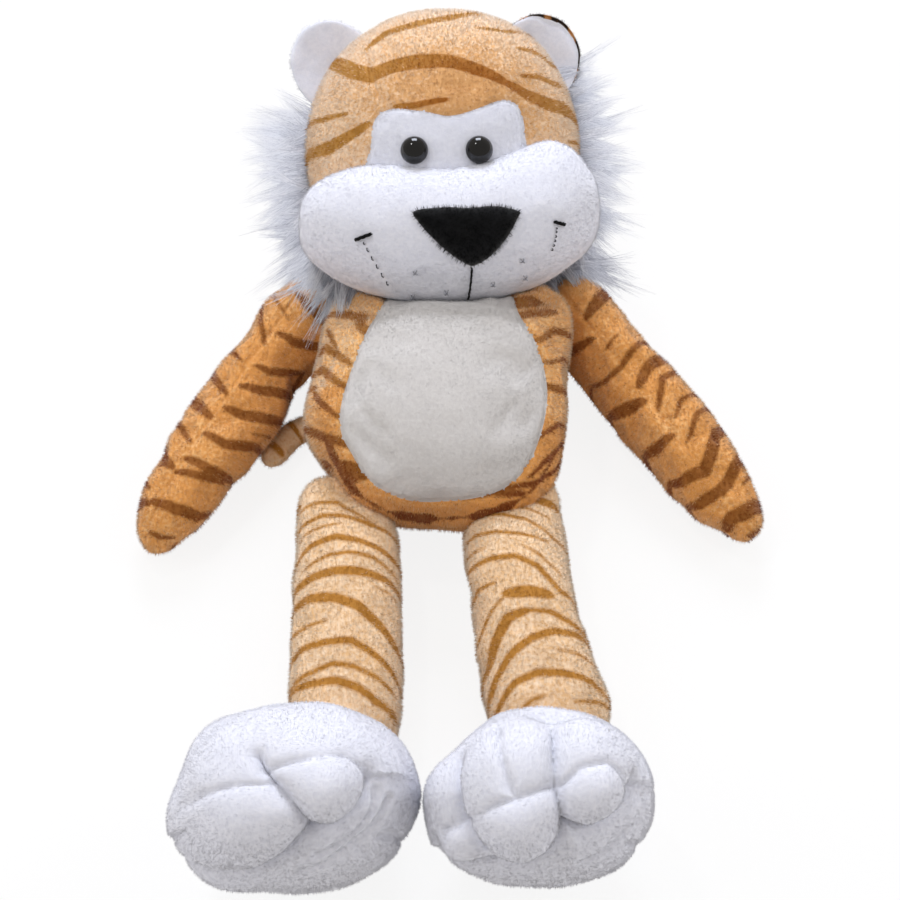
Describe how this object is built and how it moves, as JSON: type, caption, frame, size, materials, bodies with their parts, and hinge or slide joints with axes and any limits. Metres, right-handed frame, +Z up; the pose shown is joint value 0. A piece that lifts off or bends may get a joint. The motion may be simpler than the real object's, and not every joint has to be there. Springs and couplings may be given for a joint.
{
  "type": "plush tiger",
  "caption": "Soft stuffed tiger with a ball head, wide white muzzle, long fur ruff, striped arms and legs, and big white feet, lying on its back.",
  "frame": {"origin": "the middle of the toy's bounding box, on the surface that it lies on", "axes": "+Z up out of the surface, +Y towards the head, +X towards the arm on the right as seen from above"},
  "size_m": [0.2226, 0.343, 0.0946],
  "materials": {
    "tiger_plush": "short striped plush",
    "leg_plush": "short pale striped plush",
    "dark_striped_plush": "short dark brown striped plush",
    "white_plush": "short white plush",
    "cream_plush": "short off-white plush",
    "nose_plush": "black plush",
    "long_fur": "long white fur",
    "eye_plastic": "polished black",
    "washer_plastic": "moulded",
    "black_thread": "embroidery thread",
    "grey_thread": "embroidery thread",
    "fibre_fill": "loose polyester fibre"
  },
  "bodies": {
    "torso": {"body_cover": "tiger_plush", "belly_panel": "cream_plush", "body_filling": "fibre_fill"},
    "head": {"head_cover": "tiger_plush", "eye_patch": "white_plush", "head_filling": "fibre_fill", "eye_left": "eye_plastic", "eye_right": "eye_plastic", "eye_washer_left": "washer_plastic", "eye_washer_right": "washer_plastic", "muzzle_cover": "white_plush", "muzzle_filling": "fibre_fill", "nose": "nose_plush", "mouth_stitch": "black_thread", "smile_stitch_left": "grey_thread", "cheek_bar_left": "black_thread", "whisker_knot_left_1": "grey_thread", "whisker_knot_left_2": "grey_thread", "whisker_knot_left_3": "grey_thread", "ear_front_left": "white_plush", "ear_back_left": "dark_striped_plush", "ruff_left": "long_fur", "smile_stitch_right": "grey_thread", "cheek_bar_right": "black_thread", "whisker_knot_right_1": "grey_thread", "whisker_knot_right_2": "grey_thread", "whisker_knot_right_3": "grey_thread", "ear_front_right": "white_plush", "ear_back_right": "dark_striped_plush", "ruff_right": "long_fur"},
    "arm_left": {"arm_cover_left": "tiger_plush", "arm_filling_left": "fibre_fill"},
    "leg_left": {"leg_cover_left": "leg_plush", "leg_filling_left": "fibre_fill"},
    "foot_left": {"foot_upper_left": "white_plush", "foot_sole_left": "white_plush", "foot_filling_left": "fibre_fill"},
    "arm_right": {"arm_cover_right": "tiger_plush", "arm_filling_right": "fibre_fill"},
    "leg_right": {"leg_cover_right": "leg_plush", "leg_filling_right": "fibre_fill"},
    "foot_right": {"foot_upper_right": "white_plush", "foot_sole_right": "white_plush", "foot_filling_right": "fibre_fill"},
    "tail": {"tail_cover": "tiger_plush", "tail_filling": "fibre_fill"}
  },
  "joints": [
    {"name": "neck", "type": "hinge", "parent": "torso", "child": "head", "pos_m": [-0.00286, 0.07119, 0.012], "axis": [1, 0, 0], "range_deg": [-45, 0]},
    {"name": "shoulder_left", "type": "hinge", "parent": "torso", "child": "arm_left", "pos_m": [-0.05856, 0.05689, 0.0345], "axis": [-0.8788, 0.4772, 0], "range_deg": [0, 75]},
    {"name": "shoulder_right", "type": "hinge", "parent": "torso", "child": "arm_right", "pos_m": [0.05304, 0.05609, 0.0345], "axis": [-0.8387, -0.5446, 0], "range_deg": [0, 75]},
    {"name": "hip_left", "type": "hinge", "parent": "torso", "child": "leg_left", "pos_m": [-0.03586, -0.02981, 0.038], "axis": [-1, 0, 0], "range_deg": [0, 90]},
    {"name": "hip_right", "type": "hinge", "parent": "torso", "child": "leg_right", "pos_m": [0.01914, -0.02981, 0.038], "axis": [-1, 0, 0], "range_deg": [0, 90]},
    {"name": "ankle_left", "type": "hinge", "parent": "leg_left", "child": "foot_left", "pos_m": [-0.03486, -0.10981, 0.003], "axis": [1, 0, 0], "range_deg": [0, 30]},
    {"name": "ankle_right", "type": "hinge", "parent": "leg_right", "child": "foot_right", "pos_m": [0.03614, -0.10981, 0.003], "axis": [1, 0, 0], "range_deg": [0, 30]},
    {"name": "tail_fold", "type": "hinge", "parent": "torso", "child": "tail", "pos_m": [-0.01366, 0.00399, 0], "axis": [-0.6562, -0.7546, 0], "range_deg": [0, 100]}
  ]
}
